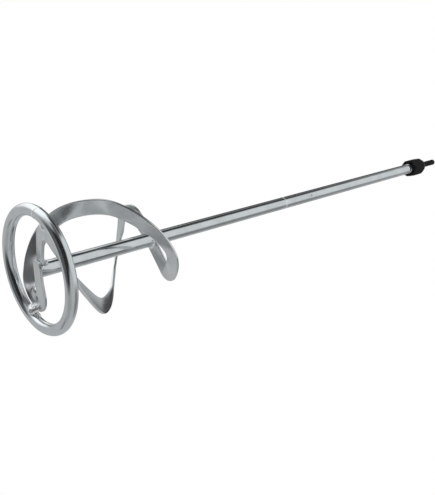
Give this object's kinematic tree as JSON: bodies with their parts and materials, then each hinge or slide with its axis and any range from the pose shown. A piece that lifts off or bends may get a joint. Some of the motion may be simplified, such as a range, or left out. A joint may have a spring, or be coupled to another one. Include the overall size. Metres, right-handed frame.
{
  "type": "mortar mixing paddle",
  "caption": "Hand-mixer paddle: straight round shaft, bottom ring, helical flat-bar wings welded between ring and shaft, black hexagonal drive adapter with a round shank.",
  "frame": {"origin": "centre of the ring's underside, where the standing paddle touches the floor", "axes": "+Z along the shaft from the ring to the drive shank; +X and +Y span the ring's plane"},
  "size_m": [0.12, 0.12, 0.6745],
  "materials": {
    "zinc_bright": "bright zinc plate, smooth, mirror-like with soft edges",
    "zinc_satin": "satin zinc plate on rolled flat bar",
    "weld_metal": "plated weld bead, lumpy",
    "steel_dark": "dull steel pin end",
    "black_oxide": "black oxide, satin"
  },
  "bodies": {
    "root": {"ring": "zinc_bright", "ring_weld": "weld_metal", "shaft_lower": "zinc_bright", "shaft_upper": "zinc_bright", "shaft_spigot": "zinc_bright", "shaft_pin": "steel_dark", "seam_weld": "weld_metal", "stud_weld": "weld_metal", "thread_stud": "zinc_bright", "adapter": "black_oxide", "wing_a": "zinc_satin", "wing_b": "zinc_satin", "foot_weld_a": "weld_metal", "foot_weld_b": "weld_metal", "rim_weld_a": "weld_metal", "rim_weld_b": "weld_metal", "top_weld_a": "weld_metal", "top_weld_b": "weld_metal"}
  },
  "joints": []
}
